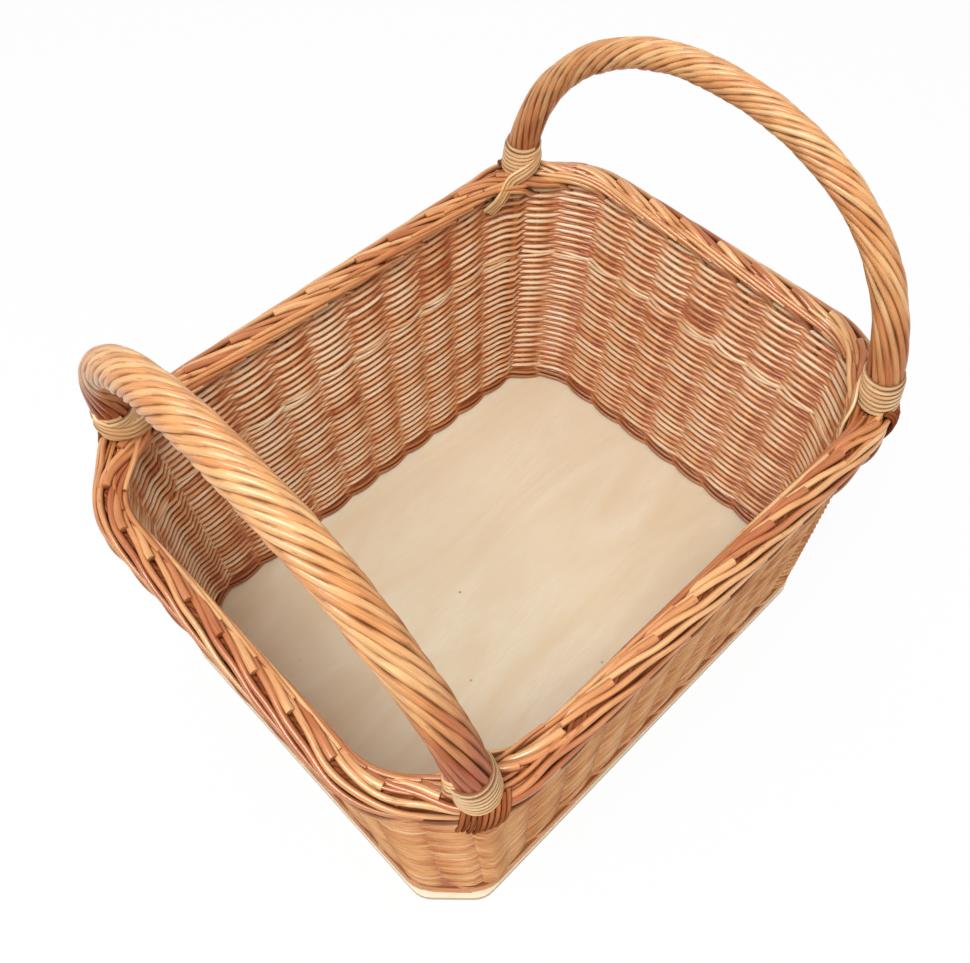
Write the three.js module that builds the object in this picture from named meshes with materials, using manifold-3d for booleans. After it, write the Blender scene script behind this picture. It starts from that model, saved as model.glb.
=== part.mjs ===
// Rectangular willow basket with a plywood bottom, a rolled rim and two rope handles.
// Millimetres, +Z up, origin on the floor under the middle of the basket, X along the length.

import * as THREE from 'three';
import { mergeVertices } from 'three/addons/utils/BufferGeometryUtils.js';
import Module from 'manifold-3d';

const wasm = await Module();
wasm.setup();

// Plywood bottom
const boardHalfLength = 237;
const boardHalfWidth = 186;
const boardThickness = 8;
const boardCornerCut = 36;
const boardCornerRounding = 9;
const boardEdgeBreak = 0.8;

// Centre line of the woven wall at the bottom and at the rim
const wallInset = 6.5;
const flareOfLength = 19;
const flareOfWidth = 12;
const footHalfLength = boardHalfLength - wallInset;
const footHalfWidth = boardHalfWidth - wallInset;
const footCornerCut = 33;
const footCornerRounding = 12;
const rimHalfLength = footHalfLength + flareOfLength;
const rimHalfWidth = footHalfWidth + flareOfWidth;
const rimCornerCut = 54;
const rimCornerRounding = 28;
const rimHeight = 265;

// Woven wall: a thick twined course at the foot and two bands of fine weave
const waleTop = 22;
const rimSeat = 13;
const upperBandWidth = 70;
const waleHalfThickness = 5.6;
const waleRounding = 2.4;
const upperBandTop = rimHeight - rimSeat;
const lowerBandTop = upperBandTop - upperBandWidth;
const wallHalfThickness = 4.6;
const wallFluting = 1.3;

// Stakes, whose upper ends are laid down as the rolled rim
const stakesOnLongSide = 10;
const stakesRoundShortEnd = 11;
const stakeShift = 0.4;
const stakeRadius = 2.8;
const stakeHoleRadius = 3.55;
const stakeFoot = 0.5;
const rimRodRadius = 2.36;
const rimTipRadius = 1.5;
const pairSpread = 2.26;
const rimRun = 3.75;
const rimRodSteps = 6;
const rimTurnRise = 3;
const rimClimb = 9;
const rollWidth = 9.3;
const rollHeight = 12.6;
const rollOffset = 2.4;
const rollStartAngle = 214;
const rollPerStake = 53;

// Rope handles: a bow pushed down into the weave and wrapped with twisted rods
const legInset = 46.5;
const bowRadius = 4.2;
const bowDepth = 125;
const bowBulge = 2.4;
const bowBend = 22;
const archFootHeight = rimHeight - 9;
const archHalfSpan = rimHalfWidth - 6.5;
const archBlend = 25;
const archRise = 200;
const archSquareness = 2.1;
const leftArchLean = 16;
const rightArchLean = 2.2;
const ropeStrands = 10;
const ropeRadius = 13.2;
const leftTopRadius = 13.4;
const rightTopRadius = 11;
const ropeGroove = 1.4;
const ropeTurns = 3.1;
const ropeStartHeight = rimHeight + 19;
const ropeCollar = 1;
const archSteps = 24;

// Lashing round each handle foot
const lashingTurns = 6;
const lashingPitch = 4.5;
const lashingRodRadius = 1.75;
const lashingSteps = 10;
const lashingStartHeight = ropeStartHeight + 1;

// Clearance between touching pieces, and how far the rim rods part round a bow
const fit = 0.3;
const bowClearance = 0.45;
const overcut = 1;
const rodPushes = [-8.5, -7.4, 6.8, 4.7];
const pushReach = 44;

const willow = new THREE.MeshStandardMaterial({ color: 0xc98a55, roughness: 0.55, metalness: 0 });
const fineWillow = new THREE.MeshStandardMaterial({ color: 0xc48c5c, roughness: 0.5, metalness: 0 });
const lacquered = new THREE.MeshStandardMaterial({ color: 0xd9a066, roughness: 0.35, metalness: 0 });
const cane = new THREE.MeshStandardMaterial({ color: 0xe0b883, roughness: 0.4, metalness: 0 });
const plywood = new THREE.MeshStandardMaterial({ color: 0xd8bd93, roughness: 0.6, metalness: 0 });

const stakeCount = 2 * (stakesOnLongSide + stakesRoundShortEnd);
const backRightFoot = stakesOnLongSide + stakesRoundShortEnd;
const backLeftFoot = backRightFoot + stakesOnLongSide;
const footNumbers = [0, stakesOnLongSide, backRightFoot, backLeftFoot, stakeCount];
const degree = Math.PI / 180;
const basket = new THREE.Group();

// A rectangle with cut and rounded corners, drawn from the middle of its front side
function cornerCutOutline(halfLength, halfWidth, cut, rounding) {
  const corners = [];
  for (const [sx, sy] of [[1, -1], [1, 1], [-1, 1], [-1, -1]]) {
    const onLong = new THREE.Vector2(sx * (halfLength - cut), sy * halfWidth);
    const onShort = new THREE.Vector2(sx * halfLength, sy * (halfWidth - cut));
    if (sx * sy < 0) corners.push(onLong, onShort);
    else corners.push(onShort, onLong);
  }
  const shape = new THREE.Shape();
  shape.moveTo(0, -halfWidth);
  corners.forEach((corner, i) => {
    const before = i ? corners[i - 1] : new THREE.Vector2(0, -halfWidth);
    const after = corners[(i + 1) % corners.length];
    const start = before.clone().sub(corner).setLength(rounding).add(corner);
    const end = after.clone().sub(corner).setLength(rounding).add(corner);
    shape.lineTo(start.x, start.y);
    shape.quadraticCurveTo(corner.x, corner.y, end.x, end.y);
  });
  shape.lineTo(0, -halfWidth);
  shape.arcLengthDivisions = 1600;
  return shape;
}

const footOutline = cornerCutOutline(footHalfLength, footHalfWidth, footCornerCut, footCornerRounding);
const rimOutline = cornerCutOutline(rimHalfLength, rimHalfWidth, rimCornerCut, rimCornerRounding);

// Spot on an outline by stake number, which runs evenly from one handle foot to the next
function outlineSpot(outline, number, legX) {
  const length = outline.getLength();
  const local = THREE.MathUtils.euclideanModulo(number, stakeCount);
  const stretch = footNumbers.findIndex((foot, i) => local < footNumbers[i + 1]);
  const part = (local - footNumbers[stretch]) / (footNumbers[stretch + 1] - footNumbers[stretch]);
  const knots = [-legX, legX, length / 2 - legX, length / 2 + legX, length - legX];
  const distance = THREE.MathUtils.lerp(knots[stretch], knots[stretch + 1], part);
  const share = THREE.MathUtils.euclideanModulo(distance / length, 1);
  const tangent = outline.getTangentAt(share);
  return { point: outline.getPointAt(share), outward: new THREE.Vector2(tangent.y, -tangent.x) };
}

// A point of the wall: stake number round the basket, offset outward, height
function wallPoint(number, offset, height) {
  const foot = outlineSpot(footOutline, number, footHalfLength - legInset);
  const rim = outlineSpot(rimOutline, number, rimHalfLength - legInset);
  const share = (height - boardThickness) / (rimHeight - boardThickness);
  const point = foot.point.lerp(rim.point, share);
  point.addScaledVector(foot.outward.lerp(rim.outward, share).normalize(), offset);
  return new THREE.Vector3(point.x, point.y, height);
}

// Triangles between rings of equal length, closed by flat ends or end to end
function skin(rings, endToEnd = false) {
  const count = rings[0].length;
  const total = rings.length * count;
  const index = [];
  for (let i = 0; i < (endToEnd ? rings.length : rings.length - 1); i++) {
    for (let j = 0; j < count; j++) {
      const a = i * count + j;
      const b = i * count + (j + 1) % count;
      const c = (b + count) % total;
      const d = (a + count) % total;
      index.push(a, b, c, a, c, d);
    }
  }
  for (let j = 1; !endToEnd && j + 1 < count; j++) {
    index.push(0, j + 1, j);
    index.push(total - count, total - count + j, total - count + j + 1);
  }
  const geometry = new THREE.BufferGeometry();
  geometry.setFromPoints(rings.flat());
  geometry.setIndex(index);
  return geometry;
}

function tangentsOf(centres) {
  return centres.map((centre, i) => {
    const before = centres[Math.max(i - 1, 0)];
    const after = centres[Math.min(i + 1, centres.length - 1)];
    return after.clone().sub(before).normalize();
  });
}

// A rod through a row of centres, with its own radius and twist at each
function rodThrough(centres, sides, radiusAt, turnAt = () => 0) {
  const tangents = tangentsOf(centres);
  const start = new THREE.Vector3(1, 0, 0);
  const normal = start.addScaledVector(tangents[0], -start.dot(tangents[0])).normalize();
  const swing = new THREE.Quaternion();
  return skin(centres.map((centre, i) => {
    if (i) normal.applyQuaternion(swing.setFromUnitVectors(tangents[i - 1], tangents[i]));
    const side = tangents[i].clone().cross(normal);
    const ring = [];
    for (let j = 0; j < sides; j++) {
      const angle = j / sides * Math.PI * 2 + turnAt(i);
      const radius = radiusAt(i, j);
      const spot = centre.clone().addScaledVector(normal, Math.cos(angle) * radius);
      ring.push(spot.addScaledVector(side, Math.sin(angle) * radius));
    }
    return ring;
  }));
}

// Two rods side by side through a row of centres, spread along a guide direction
function pairThrough(centres, guides, radiusAt, spreadAt) {
  const tangents = tangentsOf(centres);
  return skin(centres.map((centre, i) => {
    const across = guides[i].clone().addScaledVector(tangents[i], -guides[i].dot(tangents[i])).normalize();
    const side = tangents[i].clone().cross(across);
    const ring = [];
    for (let j = 0; j < 8; j++) {
      const angle = j / 8 * Math.PI * 2;
      const lobe = Math.abs(Math.sin(angle)) > 0.9 ? 1 - 0.22 * spreadAt(i) / pairSpread : 1;
      const wide = Math.cos(angle) * radiusAt(i) + Math.sign(Math.round(Math.cos(angle) * 9)) * spreadAt(i);
      const spot = centre.clone().addScaledVector(across, wide);
      ring.push(spot.addScaledVector(side, Math.sin(angle) * radiusAt(i) * lobe));
    }
    return ring;
  }));
}

function toSolid(geometry) {
  const bare = geometry.clone();
  bare.deleteAttribute('normal');
  bare.deleteAttribute('uv');
  const merged = mergeVertices(bare, 1e-4);
  return new wasm.Manifold(new wasm.Mesh({
    numProp: 3,
    vertProperties: new Float32Array(merged.attributes.position.array),
    triVerts: new Uint32Array(merged.index.array),
  }));
}

function toGeometry(solid) {
  const mesh = solid.getMesh();
  const geometry = new THREE.BufferGeometry();
  geometry.setAttribute('position', new THREE.BufferAttribute(mesh.vertProperties, 3));
  geometry.setIndex(new THREE.BufferAttribute(mesh.triVerts, 1));
  return geometry;
}

function put(name, geometry, material) {
  const mesh = new THREE.Mesh(geometry, material);
  mesh.name = name;
  basket.add(mesh);
}

function nearestFoot(number) {
  const away = footNumbers.map((foot) => Math.abs(foot - number));
  return footNumbers[away.indexOf(Math.min(...away))];
}

// Rolled rim: a stake bends inward, runs along, rolls over the top and ends outside
function rimRoll(run) {
  const angle = (rollStartAngle - rollPerStake * run) * degree;
  const taken = THREE.MathUtils.smoothstep(run, 0, 0.6);
  const risen = upperBandTop + rimTurnRise + rimClimb * Math.min(run, 1);
  const rolled = rimHeight + rollHeight * Math.sin(angle);
  return {
    angle,
    offset: (rollOffset + rollWidth * Math.cos(angle)) * taken,
    height: THREE.MathUtils.lerp(risen, rolled, taken),
  };
}

// Beside a bow the rods part: the two youngest go inside it, the older ones outside
function rimPush(number, run) {
  const leg = nearestFoot(number + run);
  const bow = wallPoint(leg, 0, rimHeight);
  const away = bow.distanceTo(wallPoint(number + run, 0, rimHeight));
  const order = Math.floor(leg - number);
  if (away > pushReach || order < 0 || order >= rodPushes.length) return 0;
  const taken = THREE.MathUtils.smoothstep(run, 0, 0.5);
  return rodPushes[order] * taken * Math.cos(away / pushReach * Math.PI / 2) ** 2;
}

const stakeHoles = [];
for (let i = 0; i < stakeCount; i++) {
  const number = i + stakeShift;
  const hole = [wallPoint(number, 0, -overcut), wallPoint(number, 0, upperBandTop + overcut)];
  stakeHoles.push(toSolid(rodThrough(hole, 6, () => stakeHoleRadius)));
  const centres = [wallPoint(number, 0, stakeFoot), wallPoint(number, 0, upperBandTop - overcut)];
  const along = wallPoint(number + 0.5, 0, 0).sub(wallPoint(number, 0, 0));
  const guides = [along, along];
  for (let k = 0; k <= rimRodSteps; k++) {
    const run = k / rimRodSteps * rimRun;
    const { offset, height, angle } = rimRoll(run);
    centres.push(wallPoint(number + run, offset + rimPush(number, run), height));
    const inward = wallPoint(number + run, -rollWidth * Math.sin(angle), 0);
    const guide = inward.sub(wallPoint(number + run, 0, 0));
    guides.push(guide.setZ(rollHeight * Math.cos(angle)));
  }
  const last = centres.length - 1;
  const radiusAt = (ring) => {
    if (ring < 3) return stakeRadius;
    return THREE.MathUtils.lerp(rimRodRadius, rimTipRadius, (ring / last) ** 2);
  };
  const spreadAt = (ring) => {
    const opened = THREE.MathUtils.smoothstep(ring, 2, 4);
    return pairSpread * opened * radiusAt(ring) / rimRodRadius;
  };
  put('stake_' + String(i + 1).padStart(2, '0'), pairThrough(centres, guides, radiusAt, spreadAt), willow);
}

// Bow of one handle, from its front foot in the weave over the arch to its back foot
function bowCurve(side, frontNumber, backNumber, lean) {
  const footNumber = (front) => (front ? frontNumber : backNumber);
  const legX = rimHalfLength - legInset;
  const spots = [];
  for (let k = 0; k <= 90; k++) {
    const angle = k / 90 * Math.PI;
    const across = Math.abs(Math.cos(angle)) ** (2 / archSquareness) * archHalfSpan;
    const rise = Math.abs(Math.sin(angle)) ** (2 / archSquareness);
    const y = k < 45 ? -across : across;
    const height = archFootHeight + rise * archRise;
    const arch = new THREE.Vector3(side * (legX + lean * rise), y, height);
    const share = THREE.MathUtils.smoothstep(height, archFootHeight - archBlend, archFootHeight + archBlend);
    spots.push(wallPoint(footNumber(k < 45), 0, height).lerp(arch, share));
  }
  return new THREE.CatmullRomCurve3(spots, false, 'centripetal');
}

function bowCentres(side, frontNumber, backNumber, lean) {
  const arch = bowCurve(side, frontNumber, backNumber, lean);
  const legs = [frontNumber, backNumber].map((number) => {
    const below = [archFootHeight - bowDepth, archFootHeight - bowBend];
    return below.map((height) => wallPoint(number, 0, height));
  });
  const up = arch.getSpacedPoints(240);
  const start = up.findIndex((spot) => spot.z > ropeStartHeight);
  const rope = new THREE.CatmullRomCurve3(up.slice(start, up.length - start), false, 'centripetal');
  const stem = up.slice(0, start).filter((spot, i) => i % 4 === 0);
  const back = up.slice(up.length - start).reverse().filter((spot, i) => i % 4 === 0).reverse();
  const collar = (spot) => new THREE.Vector3(spot.x, spot.y, spot.z - ropeCollar);
  const ropePoints = rope.getSpacedPoints(archSteps);
  return {
    rope,
    ropePoints,
    front: [...legs[0], ...stem, collar(ropePoints[0])],
    back: [collar(ropePoints[archSteps]), ...back, ...legs[1].reverse()],
  };
}

const bowHoles = [];
function handle(name, side, frontNumber, backNumber, topRadius, lean) {
  const bow = bowCentres(side, frontNumber, backNumber, lean);
  const centres = [...bow.front, ...bow.ropePoints, ...bow.back];
  const first = bow.front.length;
  const share = (ring) => THREE.MathUtils.clamp((ring - first) / archSteps, 0, 1);
  const onRope = (ring) => ring >= first && ring <= first + archSteps;
  const radiusAt = (ring, corner) => {
    if (!onRope(ring)) return bowRadius;
    const full = THREE.MathUtils.lerp(ropeRadius, topRadius, Math.sin(share(ring) * Math.PI));
    return full - (corner % 2) * ropeGroove;
  };
  const turnAt = (ring) => {
    const eased = share(ring) - 0.6 * Math.sin(share(ring) * Math.PI * 2) / (Math.PI * 2);
    return -ropeTurns * Math.PI * 2 * eased;
  };
  put(name, rodThrough(centres, ropeStrands * 2, radiusAt, turnAt), lacquered);
  for (const end of [bow.front, bow.back.slice().reverse()]) {
    const bottom = end[0].clone();
    bottom.z -= fit;
    bowHoles.push(toSolid(rodThrough([bottom, ...end.slice(1)], 12, () => bowRadius + bowClearance)));
  }
  return bow;
}

const leftBow = handle('handle_left', -1, 0, backLeftFoot, leftTopRadius, leftArchLean);
const rightFoot = stakesOnLongSide;
const rightBow = handle('handle_right', 1, rightFoot, backRightFoot, rightTopRadius, rightArchLean);

// Lashing: one rod wound round the foot of a handle
function lashing(name, bow, fromBack) {
  const centres = [];
  const length = bow.rope.getLength();
  const steps = lashingTurns * lashingSteps;
  const reach = (ropeRadius + fit + lashingRodRadius) / Math.cos(Math.PI / lashingSteps);
  for (let k = 0; k <= steps; k++) {
    const along = lashingStartHeight - ropeStartHeight + k / lashingSteps * lashingPitch;
    const share = fromBack ? 1 - along / length : along / length;
    const axis = bow.rope.getPointAt(share);
    const up = bow.rope.getTangentAt(share).multiplyScalar(fromBack ? -1 : 1);
    const outward = new THREE.Vector3(1, 0, 0);
    outward.addScaledVector(up, -outward.dot(up)).normalize();
    const side = up.clone().cross(outward);
    const angle = k / lashingSteps * Math.PI * 2;
    const spot = axis.addScaledVector(outward, Math.cos(angle) * reach);
    centres.push(spot.addScaledVector(side, Math.sin(angle) * reach));
  }
  let least = Infinity;
  centres.forEach((spot, i) => {
    for (const other of centres.slice(i + lashingSteps - 2)) {
      least = Math.min(least, spot.distanceTo(other) - 2 * lashingRodRadius);
    }
  });
  console.log(name, 'least gap between turns', least.toFixed(2), 'mm');
  put(name, rodThrough(centres, 5, () => lashingRodRadius), cane);
}

lashing('lashing_left_front', leftBow, false);
lashing('lashing_left_back', leftBow, true);
lashing('lashing_right_front', rightBow, false);
lashing('lashing_right_back', rightBow, true);

// Woven courses: closed bands round the basket, drilled for the stakes and the bows
const drill = stakeHoles.reduce((all, hole) => all.add(hole));
const bowDrill = bowHoles.reduce((all, hole) => all.add(hole));

function halfThickness(number, base) {
  const swell = Math.cos((number - stakeShift) * Math.PI * 2) * wallFluting;
  const leg = nearestFoot(number);
  const bulge = bowBulge * Math.exp(-(((number - leg) / 0.3) ** 2));
  return base + swell + bulge;
}

function band(sectionAt, perStake) {
  const rings = [];
  for (let k = 0; k < stakeCount * perStake; k++) {
    const number = k / perStake + stakeShift;
    rings.push(sectionAt(number).map(([offset, height]) => wallPoint(number, offset, height)));
  }
  return toSolid(skin(rings, true));
}

const wale = band((number) => {
  const half = waleHalfThickness;
  const low = boardThickness + fit;
  const soft = waleRounding;
  return [[-half, low], [-half, waleTop], [half - soft, waleTop], [half, waleTop - soft],
    [half, low + soft], [half - soft, low]];
}, 2);
put('bottom_wale', toGeometry(wale.subtract(drill)), willow);

function weaveBand(low, high) {
  return band((number) => {
    const half = halfThickness(number, wallHalfThickness);
    return [[-half, low], [-half, high], [half, high], [half, low]];
  }, 2);
}

const lower = weaveBand(waleTop + fit, lowerBandTop);
put('lower_weave', toGeometry(lower.subtract(drill).subtract(bowDrill)), fineWillow);
const upper = weaveBand(lowerBandTop + fit, upperBandTop);
put('upper_weave', toGeometry(upper.subtract(drill).subtract(bowDrill)), fineWillow);

// Bottom board, resting on its flat underside
const boardOutline = cornerCutOutline(
  boardHalfLength - boardEdgeBreak,
  boardHalfWidth - boardEdgeBreak,
  boardCornerCut,
  boardCornerRounding,
);
const boardBlank = new THREE.ExtrudeGeometry(boardOutline, {
  depth: boardThickness - 2 * boardEdgeBreak,
  curveSegments: 4,
  bevelThickness: boardEdgeBreak,
  bevelSize: boardEdgeBreak,
  bevelSegments: 1,
});
boardBlank.translate(0, 0, boardEdgeBreak);
put('base_board', toGeometry(toSolid(boardBlank).subtract(drill)), plywood);

export default basket;
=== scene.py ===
# Rectangular willow basket: woven bands, rolled rim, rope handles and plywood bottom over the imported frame.
# Metres, +Z up. Sizes in the dictionaries are millimetres, and mm brings them to metres.

import math

import bmesh
import bpy
import numpy as np
from mathutils import Matrix, Vector


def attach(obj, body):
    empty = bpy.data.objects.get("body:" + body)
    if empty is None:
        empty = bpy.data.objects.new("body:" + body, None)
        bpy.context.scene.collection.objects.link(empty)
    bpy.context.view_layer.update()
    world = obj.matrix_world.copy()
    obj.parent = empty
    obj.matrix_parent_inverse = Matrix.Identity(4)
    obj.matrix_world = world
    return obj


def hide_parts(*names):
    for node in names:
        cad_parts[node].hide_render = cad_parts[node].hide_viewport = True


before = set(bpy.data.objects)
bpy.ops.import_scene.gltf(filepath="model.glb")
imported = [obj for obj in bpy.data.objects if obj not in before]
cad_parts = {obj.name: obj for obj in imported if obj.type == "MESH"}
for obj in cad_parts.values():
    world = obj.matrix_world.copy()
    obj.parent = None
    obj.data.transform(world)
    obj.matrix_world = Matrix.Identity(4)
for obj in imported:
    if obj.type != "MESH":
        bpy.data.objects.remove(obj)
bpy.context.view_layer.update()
mm = 0.001
chance = np.random.default_rng(11)
print("frame loaded")

# the wall's centre line, as in the CAD part: stake numbers run round from the front left handle foot
wall = {
    "footHalf": (230.5, 179.5), "footCut": 33.0, "footRounding": 12.0,
    "rimHalf": (249.5, 191.5), "rimCut": 54.0, "rimRounding": 28.0,
    "boardTop": 8.0, "rimHeight": 265.0,
    "stakes": 42, "stakeShift": 0.4, "legInset": 46.5, "feet": (0, 10, 21, 31, 42),
    "cornerSteps": 16, "tangentReach": 1.5, "pointsPerStake": 7,
}


def cutOutline(half, cut, rounding):
    corners = []
    for sx, sy in ((1, -1), (1, 1), (-1, 1), (-1, -1)):
        onLong = Vector((sx * (half[0] - cut), sy * half[1]))
        onShort = Vector((sx * half[0], sy * (half[1] - cut)))
        corners += [onLong, onShort] if sx * sy < 0 else [onShort, onLong]
    start = Vector((0.0, -half[1]))
    path = [start]
    for i, corner in enumerate(corners):
        before = corners[i - 1] if i else start
        after = corners[(i + 1) % len(corners)]
        first = corner + (before - corner).normalized() * rounding
        last = corner + (after - corner).normalized() * rounding
        for k in range(wall["cornerSteps"] + 1):
            t = k / wall["cornerSteps"]
            path.append(first * (1 - t) ** 2 + corner * (2 * t * (1 - t)) + last * t * t)
    path.append(start)
    return np.array([tuple(p) for p in path])


def outlineAt(outline, numbers, legX):
    lengths = np.concatenate([[0], np.cumsum(np.hypot(*np.diff(outline, axis=0).T))])
    total = lengths[-1]
    knots = [-legX, legX, total / 2 - legX, total / 2 + legX, total - legX]
    distance = np.interp(np.mod(numbers, wall["stakes"]), wall["feet"], knots)

    def spot(d):
        d = np.mod(d, total)
        return np.column_stack([np.interp(d, lengths, outline[:, 0]), np.interp(d, lengths, outline[:, 1])])

    tangent = spot(distance + wall["tangentReach"]) - spot(distance - wall["tangentReach"])
    tangent /= np.linalg.norm(tangent, axis=1)[:, None]
    return spot(distance), np.column_stack([tangent[:, 1], -tangent[:, 0]])


footOutline = cutOutline(wall["footHalf"], wall["footCut"], wall["footRounding"])
rimOutline = cutOutline(wall["rimHalf"], wall["rimCut"], wall["rimRounding"])


def wallAt(numbers, offsets, heights):
    numbers, offsets, heights = np.broadcast_arrays(
        np.atleast_1d(np.asarray(numbers, float)), np.asarray(offsets, float), np.asarray(heights, float))
    foot, footOut = outlineAt(footOutline, numbers, wall["footHalf"][0] - wall["legInset"])
    rim, rimOut = outlineAt(rimOutline, numbers, wall["rimHalf"][0] - wall["legInset"])
    share = ((heights - wall["boardTop"]) / (wall["rimHeight"] - wall["boardTop"]))[:, None]
    outward = footOut + (rimOut - footOut) * share
    outward /= np.linalg.norm(outward, axis=1)[:, None]
    flat = foot + (rim - foot) * share + outward * offsets[:, None]
    return np.column_stack([flat, heights])


def ease(x, low, high):
    t = np.clip((np.asarray(x, float) - low) / (high - low), 0, 1)
    return t * t * (3 - 2 * t)


# slow wander that closes on itself after one way round the basket
def wander(numbers, size, slowest=1, quickest=7):
    out = np.zeros(len(numbers))
    for k in range(slowest, quickest):
        phase = np.asarray(numbers) * 2 * math.pi * k / wall["stakes"] + chance.uniform(0, 6.28)
        out += np.sin(phase) * chance.normal(0, 1)
    return out * size / math.sqrt(quickest - slowest)


# about: points that a rod's painted shade, on its inner side, looks towards; with bothSides its back is
# as unshaded as its front, and with dull as well its outer face has little lacquer; the pair of cosines is
# where the painted shade fades
def rod(path, radius, closed=False, tint=None, about=None, bothSides=False, shade=0.0,
        shadeFade=(-0.1, 0.7), dull=True):
    return {
        "path": np.asarray(path, float), "radius": np.broadcast_to(radius, (len(path),)),
        "closed": closed, "tint": chance.random() if tint is None else tint,
        "about": about, "bothSides": bothSides, "shade": np.broadcast_to(shade, (len(path),)),
        "shadeFade": shadeFade, "dull": dull,
    }


# length: stretch of the bark's pattern that rods start in; faceEdge: cosine at which the outer face begins;
# faceLight: share of the shade that it's spared
fibreLook = {"length": 4000, "caneRadius": 2.0, "faceEdge": 0.2, "faceLight": 0.7, "sharpAngle": 76}


# rods become one mesh: round tubes, or the given flat section, with closed ends
def layRods(name, rods, sides=6, section=None, twist="Z_UP"):
    curve = bpy.data.curves.new(name, "CURVE")
    curve.dimensions = "3D"
    curve.twist_mode = twist
    curve.bevel_depth = mm
    curve.bevel_resolution = (sides - 4) // 2
    if section:
        curve.bevel_mode = "OBJECT"
        curve.bevel_object = section
        sides = len(section.data.splines[0].points)
    for one in rods:
        spline = curve.splines.new("POLY")
        spline.points.add(len(one["path"]) - 1)
        placed = np.column_stack([one["path"] * mm, np.ones(len(one["path"]))])
        spline.points.foreach_set("co", placed.ravel())
        spline.points.foreach_set("radius", np.array(one["radius"], float))
        spline.use_cyclic_u = one["closed"]
    holder = bpy.data.objects.new(name + "Path", curve)
    bpy.context.collection.objects.link(holder)
    mesh = bpy.data.meshes.new_from_object(holder.evaluated_get(bpy.context.evaluated_depsgraph_get()))
    bpy.data.objects.remove(holder)
    bpy.data.curves.remove(curve)
    mesh.name = name

    spots = np.empty(len(mesh.vertices) * 3, np.float32)
    mesh.vertices.foreach_get("co", spots)
    spots = spots.reshape(-1, sides, 3) / mm
    fibre, tint, paintedShade, outside, done = [], [], [], [], 0
    turn = np.arange(sides) / sides * 2 * math.pi
    for one in rods:
        rings = spots[done:done + len(one["path"])] - one["path"][:, None]
        done += len(one["path"])
        facing = np.ones(rings.shape[:2])
        if one["about"] is not None:
            outward = one["path"] - one["about"]
            facing = np.einsum("psk,pk->ps", rings, outward)
            facing /= np.linalg.norm(rings, axis=2) * np.linalg.norm(outward, axis=1)[:, None] + 1e-9
        outer = ease(facing, -fibreLook["faceEdge"], fibreLook["faceEdge"])
        outer = outer * (one["bothSides"] and one["dull"])
        outside.append(outer.ravel())
        facing = np.abs(facing) if one["bothSides"] else facing
        # painted shade on the side of each rod that looks towards its about points, and the given shade along
        # it
        dark = 1 - ease(facing, *one["shadeFade"])
        shaded = one["shade"][:, None] * (1 - fibreLook["faceLight"] * outer)
        paintedShade.append(np.maximum(dark, shaded).ravel())
        steps = np.linalg.norm(np.diff(one["path"], axis=0), axis=1)
        along = np.concatenate([[0], np.cumsum(steps)]) + chance.uniform(0, fibreLook["length"])
        scale = np.full(len(along), fibreLook["caneRadius"]) if section else np.array(one["radius"])
        rings = np.stack([
            np.repeat(along[:, None], sides, 1),
            scale[:, None] * np.cos(turn)[None, :], scale[:, None] * np.sin(turn)[None, :]], axis=2)
        fibre.append(rings.reshape(-1, 3))
        tint.append(np.repeat(np.broadcast_to(one["tint"], (len(along),)), sides))
    fibre = np.concatenate(fibre) * mm
    assert len(mesh.vertices) == len(fibre), (name, len(mesh.vertices), len(fibre))
    fibreLayer = mesh.attributes.new("fibre", "FLOAT_VECTOR", "POINT")
    fibreLayer.data.foreach_set("vector", fibre.astype(np.float32).ravel())
    for key, values in (("tint", tint), ("paintedShade", paintedShade), ("outside", outside)):
        layer = mesh.attributes.new(key, "FLOAT", "POINT")
        layer.data.foreach_set("value", np.concatenate(values).astype(np.float32))

    if not all(one["closed"] for one in rods):
        shape = bmesh.new()
        shape.from_mesh(mesh)
        bmesh.ops.holes_fill(shape, edges=[e for e in shape.edges if e.is_boundary], sides=0)
        bmesh.ops.recalc_face_normals(shape, faces=shape.faces)
        shape.to_mesh(mesh)
        shape.free()
    mesh.shade_smooth()
    mesh.set_sharp_from_angle(angle=math.radians(fibreLook["sharpAngle"]))
    piece = bpy.data.objects.new(name, mesh)
    bpy.context.collection.objects.link(piece)
    return piece


# closed flat section with rounded corners, for split cane
def flatSection(name, thick, wide, points=8, squareness=0.7):
    curve = bpy.data.curves.new(name, "CURVE")
    spline = curve.splines.new("POLY")
    spline.points.add(points - 1)
    for i in range(points):
        a = (i + 0.5) / points * 2 * math.pi
        x = math.copysign(abs(math.cos(a)) ** squareness, math.cos(a)) * thick / 2
        y = math.copysign(abs(math.sin(a)) ** squareness, math.sin(a)) * wide / 2
        spline.points[i].co = (x * mm, y * mm, 0, 1)
    spline.use_cyclic_u = True
    section = bpy.data.objects.new(name, curve)
    bpy.context.collection.objects.link(section)
    return section


# Materials


def newGroup(name, inputs, outputs):
    group = bpy.data.node_groups.new(name, "ShaderNodeTree")
    for kind, label in inputs:
        group.interface.new_socket(label, in_out="INPUT", socket_type="NodeSocket" + kind)
    for kind, label in outputs:
        group.interface.new_socket(label, in_out="OUTPUT", socket_type="NodeSocket" + kind)
    return group, group.nodes.new("NodeGroupInput"), group.nodes.new("NodeGroupOutput")


def node(tree, kind, sets=None, **fixed):
    made = tree.nodes.new("ShaderNode" + kind)
    for key, value in fixed.items():
        setattr(made, key, value)
    for key, value in (sets or {}).items():
        if isinstance(value, bpy.types.NodeSocket):
            tree.links.new(value, made.inputs[key])
        else:
            made.inputs[key].default_value = value
    return made


def mixColour(tree, factor, a, b, blend="MIX"):
    made = node(tree, "Mix", data_type="RGBA", blend_type=blend)
    for key, value in ((0, factor), (6, a), (7, b)):
        if isinstance(value, bpy.types.NodeSocket):
            tree.links.new(value, made.inputs[key])
        else:
            made.inputs[key].default_value = value
    return made.outputs[2]


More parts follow.
